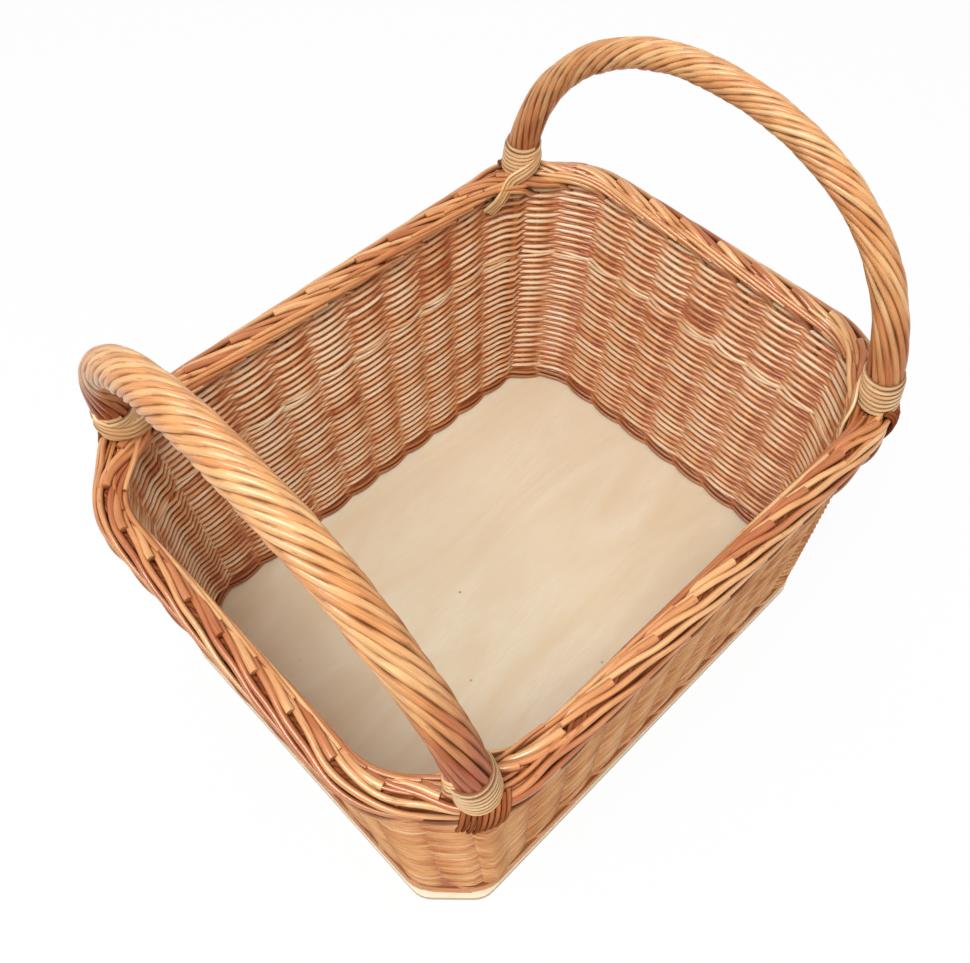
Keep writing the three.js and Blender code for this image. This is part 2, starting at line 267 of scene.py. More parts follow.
def mathNode(tree, operation, a, b=0.0, c=0.0):
    return node(tree, "Math", {0: a, 1: b, 2: c}, operation=operation).outputs[0]


def ramp(tree, factor, stops):
    made = node(tree, "ValToRGB", {0: factor})
    while len(made.color_ramp.elements) < len(stops):
        made.color_ramp.elements.new(0.5)
    for element, (position, colour) in zip(made.color_ramp.elements, stops):
        element.position = position
        element.color = colour
    return made.outputs[0]


def srgb(r, g, b):
    def lin(c):
        c /= 255
        return c / 12.92 if c <= 0.04045 else ((c + 0.055) / 1.055) ** 2.4
    return (lin(r), lin(g), lin(b), 1.0)


# Peeled rod: each one has its own tone, slow blushes along it, fine streaks and now and then a dark bud scar.
# A woven rod's outer face and the creases with their painted shade are dull and have hardly any lacquer.
# painted shade: the side of each rod that looks towards its neighbours or core is mixed towards a dark brown
bark = {
    "blushScale": (14, 40, 40), "blush": 0.9, "tint": 0.75, "tintShift": -0.32,
    "outerShadeTone": 0.78, "outerShadePull": 0.62,
    "toneStops": ((0.08, (0, 0, 0, 1)), (0.92, (1, 1, 1, 1))),
    "streakScale": (60, 1500, 1500),
    "streakStops": ((0.36, (0.55, 0.5, 0.45, 1)), (0.62, (1.1, 1.08, 1.05, 1))),
    "scarScale": (55, 230, 230), "scarStops": ((0.05, (1, 1, 1, 1)), (0.13, (0, 0, 0, 1))),
    "scarColour": srgb(112, 62, 36), "shadeColour": srgb(92, 44, 22), "scarHeight": 0.6,
    "rough": 0.34, "streakRough": 0.2, "faceRough": 0.2, "shadeRough": 0.35,
    "faceLacquer": -0.9, "shadeLacquer": -0.95, "bumpDepth": 0.4,
}


def makeBarkGroup():
    group, given, out = newGroup("peeledRod", [
        ("Color", "Pale"), ("Color", "Middle"), ("Color", "Red"),
        ("Float", "Streaks"), ("Float", "Scars"), ("Float", "ShadeDepth"),
    ], [("Color", "Colour"), ("Float", "Gloss"), ("Float", "Height"), ("Float", "Lacquer")])

    def attribute(name, output="Fac"):
        return node(group, "Attribute", attribute_name=name).outputs[output]

    def scaled(key):
        return node(group, "Mapping", {"Vector": fibre, "Scale": bark[key]}).outputs[0]

    def noise(place, detail):
        return node(group, "TexNoise", {
            "Vector": place, "Scale": 1.0, "Detail": detail, "Roughness": 0.6}).outputs[0]

    def addTimes(a, b, c):
        return mathNode(group, "MULTIPLY_ADD", a, b, c)

    def times(a, b):
        return mathNode(group, "MULTIPLY", a, b)

    fibre, tint, outside = attribute("fibre", "Vector"), attribute("tint"), attribute("outside")
    blush, streak = noise(scaled("blushScale"), 2.0), noise(scaled("streakScale"), 3.0)
    # the wall's outer face is pulled towards a redder, darker tone than its inner face: painted shade
    tint = node(group, "Mix", {0: times(outside, bark["outerShadePull"]), 2: tint, 3: bark["outerShadeTone"]}).outputs[0]
    tone = addTimes(blush, bark["blush"], addTimes(tint, bark["tint"], bark["tintShift"]))
    body = ramp(group, tone, bark["toneStops"])
    low = mixColour(group, times(body, 2.0), given.outputs["Pale"], given.outputs["Middle"])
    high = node(group, "Clamp", {0: addTimes(body, 2.0, -1.0)}).outputs[0]
    both = mixColour(group, high, low, given.outputs["Red"])
    lined = mixColour(group, 1.0, both, ramp(group, streak, bark["streakStops"]), "MULTIPLY")
    streaked = mixColour(group, given.outputs["Streaks"], both, lined)
    cell = node(group, "TexVoronoi", {"Vector": scaled("scarScale"), "Scale": 1.0, "Randomness": 1.0})
    scar = ramp(group, cell.outputs["Distance"], bark["scarStops"])
    scarred = mixColour(group, times(scar, given.outputs["Scars"]), streaked, bark["scarColour"])
    # painted shade, mixed in from the rod's own mask
    paintedShade = attribute("paintedShade")
    creased = mixColour(group, times(paintedShade, given.outputs["ShadeDepth"]), scarred, bark["shadeColour"])
    group.links.new(creased, out.inputs["Colour"])
    dull = addTimes(streak, bark["streakRough"], addTimes(outside, bark["faceRough"], bark["rough"]))
    group.links.new(addTimes(paintedShade, bark["shadeRough"], dull), out.inputs["Gloss"])
    coated = times(addTimes(outside, bark["faceLacquer"], 1.0), addTimes(paintedShade, bark["shadeLacquer"], 1.0))
    group.links.new(coated, out.inputs["Lacquer"])
    group.links.new(addTimes(scar, bark["scarHeight"], streak), out.inputs["Height"])
    return group


barkGroup = makeBarkGroup()


def rodMaterial(name, look):
    made = bpy.data.materials.new(name)
    made.use_nodes = True
    tree = made.node_tree
    shader = tree.nodes["Principled BSDF"]
    peeled = node(tree, "Group", node_tree=barkGroup)
    for key in ("Pale", "Middle", "Red", "Streaks", "Scars", "ShadeDepth"):
        peeled.inputs[key].default_value = look[key]
    tree.links.new(peeled.outputs["Colour"], shader.inputs["Base Color"])
    tree.links.new(peeled.outputs["Gloss"], shader.inputs["Roughness"])
    bump = node(tree, "Bump", {
        "Strength": look["bump"], "Distance": bark["bumpDepth"] * mm, "Height": peeled.outputs["Height"]})
    tree.links.new(bump.outputs[0], shader.inputs["Normal"])
    coat = mathNode(tree, "MULTIPLY", peeled.outputs["Lacquer"], look["lacquer"])
    tree.links.new(coat, shader.inputs["Coat Weight"])
    shader.inputs["Specular IOR Level"].default_value = look["sheen"]
    shader.inputs["Coat Roughness"].default_value = look["lacquerRoughness"]
    return made


looks = {
    "weave": {
        "Pale": srgb(255, 226, 186), "Middle": srgb(240, 180, 124), "Red": srgb(190, 108, 60),
        "Streaks": 0.5, "Scars": 0.35, "ShadeDepth": 0.62,
        "bump": 0.25, "sheen": 0.12, "lacquer": 0.8, "lacquerRoughness": 0.2,
    },
    "border": {
        "Pale": srgb(240, 186, 128), "Middle": srgb(220, 148, 90), "Red": srgb(184, 102, 54),
        "Streaks": 0.5, "Scars": 0.5, "ShadeDepth": 0.85,
        "bump": 0.3, "sheen": 0.15, "lacquer": 0.85, "lacquerRoughness": 0.15,
    },
    "handle": {
        "Pale": srgb(242, 194, 138), "Middle": srgb(220, 152, 94), "Red": srgb(184, 94, 50),
        "Streaks": 0.5, "Scars": 0.4, "ShadeDepth": 0.92,
        "bump": 0.3, "sheen": 0.12, "lacquer": 0.45, "lacquerRoughness": 0.18,
    },
    "cane": {
        "Pale": srgb(255, 224, 174), "Middle": srgb(252, 202, 144), "Red": srgb(234, 168, 108),
        "Streaks": 0.7, "Scars": 0.2, "ShadeDepth": 0.85,
        "bump": 0.35, "sheen": 0.15, "lacquer": 0.5, "lacquerRoughness": 0.2,
    },
    # darker rods without lacquer: the fans' rod ends, and painted shade as the rim's core and the rods in its
    # notches
    "darkRodsAndShade": {
        "Pale": srgb(200, 134, 86), "Middle": srgb(176, 102, 62), "Red": srgb(142, 74, 44),
        "Streaks": 0.6, "Scars": 0.5, "ShadeDepth": 0.8,
        "bump": 0.35, "sheen": 0.0, "lacquer": 0.0, "lacquerRoughness": 0.25,
    },
}
weaveMaterial = rodMaterial("wovenWillow", looks["weave"])
borderMaterial = rodMaterial("borderWillow", looks["border"])
handleMaterial = rodMaterial("lacqueredRods", looks["handle"])
caneMaterial = rodMaterial("splitCane", looks["cane"])
darkAndShadeMaterial = rodMaterial("darkRodsAndPaintedShade", looks["darkRodsAndShade"])

board = {
    "face": srgb(240, 230, 203), "grain": srgb(232, 215, 180), "knot": srgb(176, 128, 82),
    "plyLight": srgb(236, 212, 172), "plyDark": srgb(190, 146, 100), "plies": 5,
    "figureScale": (2.2, 9, 9), "figureTurn": (0, 0, 0.06), "swirl": 1.6, "distortion": 1.4,
    "figureStops": ((0.38, (0, 0, 0, 1)), (0.66, (1, 1, 1, 1))),
    "poreScale": (60, 900, 900), "poreStops": ((0.3, (0.5, 0.5, 0.5, 1)), (0.5, (0, 0, 0, 1))),
    "specks": 26.0, "speckStops": ((0.022, (0.8, 0.8, 0.8, 1)), (0.05, (0, 0, 0, 1))),
    "rough": 0.42, "poreRough": 0.2, "bump": 0.2, "bumpDepth": 0.3, "edgeSlope": 0.7,
}


def plywoodMaterial():
    made = bpy.data.materials.new("plywoodSheet")
    made.use_nodes = True
    tree = made.node_tree
    shader = tree.nodes["Principled BSDF"]
    place = node(tree, "TexCoord").outputs["Object"]
    figure = node(tree, "Mapping", {
        "Vector": place, "Scale": board["figureScale"], "Rotation": board["figureTurn"]}).outputs[0]
    swirl = node(tree, "TexNoise", {
        "Vector": figure, "Scale": board["swirl"], "Detail": 4.0, "Roughness": 0.55,
        "Distortion": board["distortion"]}).outputs[0]
    pores = node(tree, "Mapping", {"Vector": place, "Scale": board["poreScale"]}).outputs[0]
    pore = node(tree, "TexNoise", {"Vector": pores, "Scale": 1.0, "Detail": 2.0}).outputs[0]
    face = mixColour(tree, ramp(tree, swirl, board["figureStops"]), board["face"], board["grain"])
    face = mixColour(tree, ramp(tree, pore, board["poreStops"]), face, board["grain"])
    specks = node(tree, "TexVoronoi", {"Vector": place, "Scale": board["specks"], "Randomness": 1.0})
    speck = ramp(tree, specks.outputs["Distance"], board["speckStops"])
    face = mixColour(tree, speck, face, board["knot"])
    # five plies show along the board's edge
    height = node(tree, "SeparateXYZ", {0: place}).outputs[2]
    plyPairs = board["plies"] / 2 / (wall["boardTop"] * mm)
    layer = mathNode(tree, "FRACT", mathNode(tree, "MULTIPLY", height, plyPairs))
    edge = mixColour(tree, mathNode(tree, "GREATER_THAN", layer, 0.5), board["plyLight"], board["plyDark"])
    flat = node(tree, "SeparateXYZ", {0: node(tree, "NewGeometry").outputs["Normal"]}).outputs[2]
    upright = mathNode(tree, "LESS_THAN", mathNode(tree, "ABSOLUTE", flat), board["edgeSlope"])
    tree.links.new(mixColour(tree, upright, face, edge), shader.inputs["Base Color"])
    rough = mathNode(tree, "MULTIPLY_ADD", pore, board["poreRough"], board["rough"])
    tree.links.new(rough, shader.inputs["Roughness"])
    depth = board["bumpDepth"] * mm
    bump = node(tree, "Bump", {"Strength": board["bump"], "Distance": depth, "Height": pore})
    tree.links.new(bump.outputs[0], shader.inputs["Normal"])
    return made


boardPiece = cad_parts["base_board"]
boardPiece.data.materials.clear()
boardPiece.data.materials.append(plywoodMaterial())
print("materials made")


def finish(piece, material, slot, *nodes):
    piece.data.materials.clear()
    piece.data.materials.append(material)
    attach(piece, "root")
    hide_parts(*nodes)
    print(piece.name, len(piece.data.vertices), "points")


stakeNodes = ["stake_%02d" % (i + 1) for i in range(wall["stakes"])]
around = np.arange(0, wall["stakes"], 1 / wall["pointsPerStake"]) + wall["stakeShift"]

# Fine weave: rows pass in front of one stake and behind the next
weave = {
    "lower": (23.6, 177.6), "upper": (188.1, 265.0), "pitch": 3.7, "radius": 1.84, "radii": (1.5, 2.1),
    "swing": 2.8, "outerShare": 0.56, "flatness": 1.5, "aroundBow": 5.8, "bowReach": 0.22, "wobble": 0.3,
    "tuck": 1.5, "tuckFade": (20, 70), "packing": 1.5, "packingShadeTint": 1.15, "packingStep": 4,
    "columnTone": 0.1, "passTone": 0.22, "rowTone": 0.12, "slowTone": 0.14, "palest": 0.06,
    "highlightShift": 0.1, "dive": (0.12, 0.4), "diveShadeTone": 0.48, "diveShade": 0.16,
    "swingVaries": (0.98, 1.02), "swingWobble": 0.08, "betweenSize": 0.94, "passSize": 0.1,
    "radiusWobble": 0.05, "radiusVaries": 0.03,
}


def swingAt(numbers, row, size):
    base = np.cos(np.pi * (numbers - wall["stakeShift"]) + np.pi * row)
    base = np.tanh(weave["flatness"] * base) / math.tanh(weave["flatness"])
    out = base * size * np.where(base > 0, weave["outerShare"], 1.0)
    for leg in wall["feet"]:
        side = np.sign(math.cos(math.pi * (leg - wall["stakeShift"]) + math.pi * row))
        near = np.exp(-((numbers - leg) / weave["bowReach"]) ** 2)
        out = out * (1 - near) + side * weave["aroundBow"] * near
    return out, np.abs(base)


# each pass over a stake has its own tone, and some columns are paler than others; a painted highlight makes
# each pass palest a little to one side of its middle, and painted shade makes it darker and redder where it
# dives
def weaveBand(low, high):
    count = round((high - low) / weave["pitch"]) + 1
    columns = chance.normal(0, weave["columnTone"], wall["stakes"])
    nearest = np.round(around - wall["stakeShift"])
    passes = nearest.astype(int) % wall["stakes"]
    away = np.abs(around - wall["stakeShift"] - nearest - weave["highlightShift"])
    dive = ease(away, *weave["dive"])
    rows = []
    for r, z in enumerate(np.linspace(low, high, count)):
        swing, outness = swingAt(around, r, weave["swing"] * chance.uniform(*weave["swingVaries"]))
        heights = z + wander(around, weave["wobble"], 2, 12)
        radius = weave["radius"] * (weave["betweenSize"] + weave["passSize"] * outness)
        radius += wander(around, weave["radiusWobble"], 1, 5)
        radius += chance.normal(0, weave["radiusVaries"])
        tone = chance.normal(0, weave["passTone"], wall["stakes"])[passes] + columns[passes]
        tone = weave["palest"] + (tone + chance.normal(0, weave["rowTone"]))
        tone = tone + wander(around, weave["slowTone"]) + weave["diveShadeTone"] * dive
        tucked = weave["tuck"] * cornered * (1 - ease(z, *weave["tuckFade"]))
        swing += wander(around, weave["swingWobble"]) - tucked
        path, behind = wallAt(around, swing, heights), wallAt(around, swing - 1, heights)
        radius = np.clip(radius, *weave["radii"])
        rows.append(rod(path, radius, True, tone, behind, True, weave["diveShade"] * dive))
        # dark packing rods along the middle of the wall close the gaps between rows, painted shade
        packed = wallAt(around[::weave["packingStep"]], 0, z + weave["pitch"] / 2)
        rows.append(rod(packed, weave["packing"], True, weave["packingShadeTint"]))
    return rows


# two rows of pairing part the bands: two rods change places between each stake and the next
pairs = {
    "rows": (181.1, 184.7), "swing": 3.6, "climb": 1.3, "radius": 1.75, "wobble": 0.4,
    "tone": 0.1, "slowTone": 0.35, "packingUp": 1.8, "packingStep": 3,
}


def pairing():
    rows = []
    turn = np.pi * (around - wall["stakeShift"])
    for r, z in enumerate(pairs["rows"]):
        for side in (-1, 1):
            swing = side * pairs["swing"] * np.cos(turn)
            swing = np.where(swing > 0, swing * weave["outerShare"], swing)
            climb = side * (-1) ** r * pairs["climb"] * np.sin(turn)
            heights = z + climb + wander(around, pairs["wobble"], 3, 12)
            path, behind = wallAt(around, swing, heights), wallAt(around, swing - 1, heights)
            tone = pairs["tone"] + wander(around, pairs["slowTone"], 4, 30)
            rows.append(rod(path, pairs["radius"], True, tone, behind, True))
        # dark packing rods between the pairing rows, painted shade
        packed = wallAt(around[::pairs["packingStep"]], 0, z + pairs["packingUp"])
        rows.append(rod(packed, weave["packing"], True, weave["packingShadeTint"]))
    return rows


# at the cut corners the foot of the wall sits further in, so that a pale strip of the board shows
def cutShare(numbers):
    bearing = wallAt(numbers, 1, 0) - wallAt(numbers, 0, 0)
    return 2 * np.abs(bearing[:, 0] * bearing[:, 1])


cornered = cutShare(around)
lowerRows, upperRows = weaveBand(*weave["lower"]), weaveBand(*weave["upper"]) + pairing()
finish(layRods("lowerWeave", lowerRows), weaveMaterial, "willow_weave", "lower_weave")
finish(layRods("upperWeave", upperRows), weaveMaterial, "willow_weave", "upper_weave")

# Wale: three thicker rods twined, outside two stakes and inside the third
wale = {
    "rows": (11.9, 18.6), "rods": 3, "radius": 1.95, "swing": 4.9, "inShare": 0.28, "outShare": 1.28,
    "farthest": 0.8, "climb": 1.75, "wobble": 0.15, "cornerIn": 2.3,
    "hidden": (-0.35, 0.5), "tones": (0.2, 0.7), "hiddenShadeTone": 0.25, "hiddenShade": 0.25,
    "packingAt": (9.6, 13.0, 17.0, 21.2), "packing": 2.4, "packingIn": 0.6, "packingStep": 3,
}

waleRods = []
for row, z in enumerate(wale["rows"]):
    for p in range(wale["rods"]):
        turn = (around - wall["stakeShift"] - p - row) * 2 * math.pi / wale["rods"]
        offset = wale["swing"] * (wale["inShare"] - wale["outShare"] * np.cos(turn))
        offset = np.clip(offset, -wale["swing"], wale["swing"] * wale["farthest"])
        offset -= wale["cornerIn"] * cornered
        heights = z + wale["climb"] * np.sin(turn) + wander(around, wale["wobble"], 2, 9)
        path, behind = wallAt(around, offset, heights), wallAt(around, offset - 1, heights)
        # where a rod runs inside the stakes it is redder and darker, painted shade
        hidden = ease(np.cos(turn), *wale["hidden"])
        tone = chance.uniform(*wale["tones"]) + wale["hiddenShadeTone"] * hidden
        shade = wale["hiddenShade"] * hidden
        waleRods.append(rod(path, wale["radius"], True, tone, behind, True, shade, dull=False))
# dark packing rods close the wale's gaps, painted shade
for z in wale["packingAt"]:
    inward = -wale["packingIn"] * wale["cornerIn"] * cornered[::wale["packingStep"]]
    packed = wallAt(around[::wale["packingStep"]], inward, z)
    waleRods.append(rod(packed, wale["packing"], True, weave["packingShadeTint"]))
finish(layRods("twinedWale", waleRods, sides=8), borderMaterial, "willow", "bottom_wale")

# Stakes: uprights that stand in holes in the board
stake = {
    "radius": 2.3, "radiusVaries": 0.08, "foot": 1.0, "top": 254.0, "tint": 0.8,
    "straightTo": 8.0, "bentAt": 14.0, "points": 9,
}

uprights = []
for i in range(wall["stakes"]):
    number = i + wall["stakeShift"]
    upper = np.linspace(stake["bentAt"], stake["top"], stake["points"])
    heights = np.concatenate([[stake["foot"], stake["straightTo"]], upper])
    bent = ease(heights, stake["straightTo"], stake["bentAt"]) * (1 - ease(heights, *weave["tuckFade"]))
    drawn = -weave["tuck"] * cutShare([number]) * bent
    size = stake["radius"] + chance.normal(0, stake["radiusVaries"])
    uprights.append(rod(wallAt(number, drawn, heights), size, tint=stake["tint"]))
finish(layRods("uprightStakes", uprights, sides=8, twist="MINIMUM"), borderMaterial, "willow", *stakeNodes)

# Rolled rim: paired stake ends roll from the inner edge over the top to the outer edge
rim = {
    "width": 9.3, "outerWidth": 11.9, "height": 12.6, "offset": 2.4, "middle": 265.0,
    "stemFrom": (238, 246), "seat": 252.0, "risen": 264.0,
    "pushes": (-8.5, -7.4, 6.8, 4.7), "pushReach": 44.0,
    "overRuns": (0, 0.6, 0.95, 1.25, 2.1, 3.1, 3.8, 4.45, 5.0, 5.7),
    "overAngles": (176, 172, 166, 153, 112, 66, 55, 28, 16, 5), "sway": 2.0,
    "overSinks": 0.05, "overSink": (4.3, 5.6), "thick": 2.4, "tip": 1.7, "tipFrom": 3.2,
    "cutRuns": (0, 0.5, 1.1, 2.12), "cutAngles": (174, 163, 139, 90),
    "cutThick": 2.95, "cutLifts": 0.13, "cutLift": (0.9, 1.9),
    "under": 1.9, "underReach": 0.74, "underRun": 0.34, "underRods": ((2.02, 62, 108), (2.3, 50, 100)),
    "scallop": 1.9, "scallopAt": (12.6, 263), "scallopOut": 1.9, "scallopDip": 5, "scallopRise": 2,
    "scallopFrom": 0.42, "scallopRun": 1.2,
    "inner": 2.35, "innerAngles": (166, 38), "innerReach": 1.2, "innerRuns": (2.5, 0.7), "innerPush": 0.8,
    "fill": 2.0, "fillRods": 4, "fillAngles": (132, 26, 12), "fillReach": (0.96, 0.16),
    "fillFrom": 0.14, "fillRuns": (1.3, 0.4),
    "cores": ((1.2, 265, 4.6), (6.4, 264, 3.4), (-3.0, 269, 2.6), (4.5, 271, 3.4)), "coreShadeTint": 0.9,
    "twisted": 3, "twistStakes": 3, "twistAt": (8.0, 261.6), "twistReach": 2.4, "twistRadius": 2.3,
    "taken": (0.15, 0.85), "smoothing": (-0.16, -0.06, 0.06, 0.16), "slopeVaries": 3, "varies": (0.85, 1.1),
    "overVaries": (0.92, 1.1), "cutVaries": (0.93, 1.08), "cutRunVaries": 0.05, "cutSize": (0.9, 0.1),
    "underShadeTones": (0.7, 1.0), "scallopEnds": 0.75, "innerEnds": 0.7, "innerSwell": 0.35, "fillTaper": 0.3,
    "fillTones": (0.4, 0.9), "twistTint": 0.3,
}


def rimSpot(angle, reach=1.0):
    a = np.radians(angle)
    width = np.where(np.cos(a) > 0, rim["outerWidth"], rim["width"])
    return rim["offset"] + width * reach * np.cos(a), rim["middle"] + rim["height"] * reach * np.sin(a)


def rimRod(number, path, size, tint=None):
    about = wallAt(number, rim["offset"], rim["middle"])
    return rod(path, size, False, tint, about)


def rimPush(number, run):
    total = np.zeros(len(run))
    for leg in wall["feet"]:
        order = math.floor(leg - number)
        if not 0 <= order < len(rim["pushes"]):
            continue
        bow = wallAt(leg, 0, rim["middle"])[0]
        away = np.linalg.norm(wallAt(number + run, 0, rim["middle"]) - bow, axis=1) / rim["pushReach"]
        near = np.where(away < 1, np.cos(np.minimum(away, 1) * np.pi / 2) ** 2, 0)
        total += rim["pushes"][order] * ease(run, 0, 0.5) * near
    return total


def rimRodPath(number, runs, angles, reach):
    run = np.linspace(runs[0], runs[-1], round((runs[-1] - runs[0]) * 10) + 1)
    angle = np.mean([np.interp(run + shift, runs, angles) for shift in rim["smoothing"]], axis=0)
    offset, height = rimSpot(angle, reach(run))
    taken = ease(run, *rim["taken"])
    risen = rim["seat"] + (rim["risen"] - rim["seat"]) * ease(run, 0, 0.8)
    height = risen + (height - risen) * taken
    return wallAt(number + run, offset * taken + rimPush(number, run), height), run


def overReach(run):
    return 1 - rim["overSinks"] * ease(run, *rim["overSink"])


def cutReach(run):
    return 1 + rim["cutLifts"] * ease(run, *rim["cutLift"])


# a rod that starts as the upright in the wall
def laidRod(number, path, run, size):
    path = np.vstack([wallAt(number, 0, rim["stemFrom"]), path])
    numbers = number + np.concatenate([[0, 0], run])
    return rimRod(numbers, path, np.concatenate([size[:1], size[:1], size]))


# each stake gives a rod that rolls over and down to the outer edge and a thick one cut off on the top;
# in the notch behind a cut, two lower rods cross the other way, drawn dark as painted shade
rimRods, cutRods, underRods, scallops, innerRods = [], [], [], [], []
for i in range(wall["stakes"]):
    number = i + wall["stakeShift"]
    overAngles = np.add(rim["overAngles"], chance.normal(0, rim["sway"]))
    path, run = rimRodPath(number, rim["overRuns"], overAngles, overReach)
    thick = rim["thick"] * chance.uniform(*rim["overVaries"])
    size = thick + (rim["tip"] - thick) * ease(run, rim["tipFrom"], rim["overRuns"][-1])
    rimRods.append(laidRod(number, path, run, size))
    cutRuns = np.array(rim["cutRuns"])
    cutRuns[-1] += chance.normal(0, rim["cutRunVaries"])
    path, run = rimRodPath(number, cutRuns, rim["cutAngles"], cutReach)
    waist, gain = rim["cutSize"]
    size = rim["cutThick"] * chance.uniform(*rim["cutVaries"]) * (waist + gain * ease(run, 1.0, 2.0))
    cutRods.append(laidRod(number, path, run, size))
    dip = np.linspace(0, 1, 8)
    for start, first, last in rim["underRods"]:
        angle = first + (last - first) * dip + chance.normal(0, rim["slopeVaries"])
        offset, height = rimSpot(angle, rim["underReach"])
        path = wallAt(number + start + rim["underRun"] * dip, offset, height)
        size = rim["under"] * chance.uniform(*rim["varies"])
        underRods.append(rod(path, size, tint=chance.uniform(*rim["underShadeTones"])))
    # short rods bow out and down under the outer edge
    dip = np.linspace(0, 1, 16)
    swell = np.sin(np.pi * dip)
    offset = rim["scallopAt"][0] + rim["scallopOut"] * swell
    height = rim["scallopAt"][1] - rim["scallopDip"] * swell + rim["scallopRise"] * dip
    numbers = number + rim["scallopFrom"] + rim["scallopRun"] * dip
    size = rim["scallop"] * chance.uniform(*rim["varies"])
    size = size * (rim["scallopEnds"] + (1 - rim["scallopEnds"]) * swell)
    scallops.append(rimRod(numbers, wallAt(numbers, offset, height), size))
    # and longer ones lie along the inner edge
    dip = np.linspace(0, 1, 20)
    angle = rim["innerAngles"][0] - rim["innerAngles"][1] * dip + chance.normal(0, rim["slopeVaries"])
    offset, height = rimSpot(angle, rim["innerReach"])
    numbers = number + (rim["innerRuns"][0] + rim["innerRuns"][1] * chance.random()) * dip
    size = rim["inner"] * chance.uniform(*rim["varies"])
    size = size * (rim["innerEnds"] + rim["innerSwell"] * np.sin(np.pi * dip))
    offset = offset + rimPush(number, 2 * dip) * rim["innerPush"]
    innerRods.append(rimRod(numbers, wallAt(numbers, offset, height), size))
# short rods fill the rim round each handle foot
dip = np.linspace(0, 1, 14)
fillReach = rim["fillReach"][0] - rim["fillReach"][1] * np.cos(np.pi * dip)
for leg in wall["feet"][:4]:
    for way in (-1, 1):
        for k in range(rim["fillRods"]):
            first, apart, turned = rim["fillAngles"]
            angle = first - apart * k + turned * dip + chance.normal(0, rim["slopeVaries"])
            offset, height = rimSpot(angle, fillReach)
            run = rim["fillRuns"][0] + rim["fillRuns"][1] * chance.random()
            numbers = leg + way * (rim["fillFrom"] + run * dip)
            size = rim["fill"] * chance.uniform(*rim["varies"]) * (1 - rim["fillTaper"] * dip)
            tone = chance.uniform(*rim["fillTones"])
            innerRods.append(rimRod(numbers, wallAt(numbers, offset, height), size, tone))
# dark core rods fill the rim between its rods, painted shade; the twisted rods below share their dark finish
cores = []
for offset, height, size in rim["cores"]:
    cores.append(rod(wallAt(around, offset, height), size, closed=True, tint=rim["coreShadeTint"]))
# three rods twisted together carry the border at its outer side
centre = wallAt(around, *rim["twistAt"])
for k in range(rim["twisted"]):
    turn = (around / rim["twistStakes"] + k / rim["twisted"]) * 2 * np.pi
    offset = rim["twistAt"][0] + rim["twistReach"] * np.cos(turn)
    height = rim["twistAt"][1] + rim["twistReach"] * np.sin(turn)
    tint = rim["twistTint"] * (k + 1)
    cores.append(rod(wallAt(around, offset, height), rim["twistRadius"], True, tint, centre))
for name, rods, sides, material in (
        ("rolledRim", rimRods, 8, borderMaterial), ("rimCutRods", cutRods, 10, borderMaterial),
        ("rimUnderRods", underRods, 6, darkAndShadeMaterial), ("rimScallops", scallops, 6, borderMaterial),
        ("rimInnerRods", innerRods, 8, borderMaterial), ("rimCore", cores, 8, darkAndShadeMaterial)):
    finish(layRods(name, rods, sides), material, "willow", *stakeNodes)

# Rope handles: rods twisted round a bow that stands in the weave
handle = {
    "archFoot": 256.0, "halfSpan": 185.0, "blend": 25.0, "rise": 200.0, "squareness": 2.1,
    "leftLean": 16.0, "rightLean": 2.2, "leftShoulder": 5.5, "rightShoulder": 5.5,
    "bow": 4.2, "bowFrom": 131.0, "bowTo": 257.0, "ropeFrom": 279.0, "points": 170,
    "foot": 13.4, "leftTop": 13.4, "rightTop": 11.0, "strands": 13, "strand": 3.05, "strandFoot": 13.2,
    "turns": 3.1, "ease": 0.6, "leftFootShade": 0.9, "rightFootShade": 0.4, "low": (0.05, 0.23),
    "shadeFade": (0.35, 0.66), "lowShade": 0.1, "strandVaries": (0.95, 1.07), "tones": (0.05, 0.5),
    "reachSway": 0.35, "reachWaves": (8, 16), "turnSway": 0.05, "turnWaves": (9, 20), "bowTint": 0.6,
}


def bowLine(side, front, back):
    angle = np.linspace(0, np.pi, 721)
    across = np.abs(np.cos(angle)) ** (2 / handle["squareness"]) * handle["halfSpan"]
    rise = np.abs(np.sin(angle)) ** (2 / handle["squareness"])
    height = handle["archFoot"] + handle["rise"] * rise
    y = np.where(angle < np.pi / 2, -across, across)
    lean = handle["leftLean"] if side < 0 else handle["rightLean"]
    # bent by hand: the left bow's back shoulder is flatter, and the right one's front shoulder fuller
    rightFuller, leftFlatter = handle["rightShoulder"] * (side > 0), -handle["leftShoulder"] * (side < 0)
    fuller = np.where(angle < np.pi / 2, rightFuller, leftFlatter)
    bent = fuller * np.sin(2 * angle) ** 2 * math.sqrt(0.5)
    y, height = y + np.sign(y) * bent, height + bent
    arch = np.column_stack([side * (wall["rimHalf"][0] - wall["legInset"] + lean * rise), y, height])
    taken = ease(height, handle["archFoot"] - handle["blend"], handle["archFoot"] + handle["blend"])[:, None]
    stem = wallAt(np.where(angle < np.pi / 2, front, back), 0, height)
    return stem + (arch - stem) * taken


def evenly(path, count):
    steps = np.concatenate([[0], np.cumsum(np.linalg.norm(np.diff(path, axis=0), axis=1))])
    at = np.linspace(0, steps[-1], count)
    return np.column_stack([np.interp(at, steps, path[:, k]) for k in range(3)])


def softened(path, passes):
    path = np.array(path)
    for _ in range(passes):
        path[1:-1] = (path[:-2] + 2 * path[1:-1] + path[2:]) / 4
    return path


# two directions square to a path: one kept as near as can be to +X, so that nothing spins
def squareTo(path):
    tangent = np.gradient(path, axis=0)
    tangent /= np.linalg.norm(tangent, axis=1)[:, None]
    first = np.array([1.0, 0, 0]) - tangent * tangent[:, :1]
    first /= np.linalg.norm(first, axis=1)[:, None]
    return first, np.cross(tangent, first)


def ropeLine(side, front, back):
    line = bowLine(side, front, back)
    inside = np.flatnonzero(line[:, 2] > handle["ropeFrom"])
    return evenly(line[inside[0]:inside[-1] + 1], handle["points"])
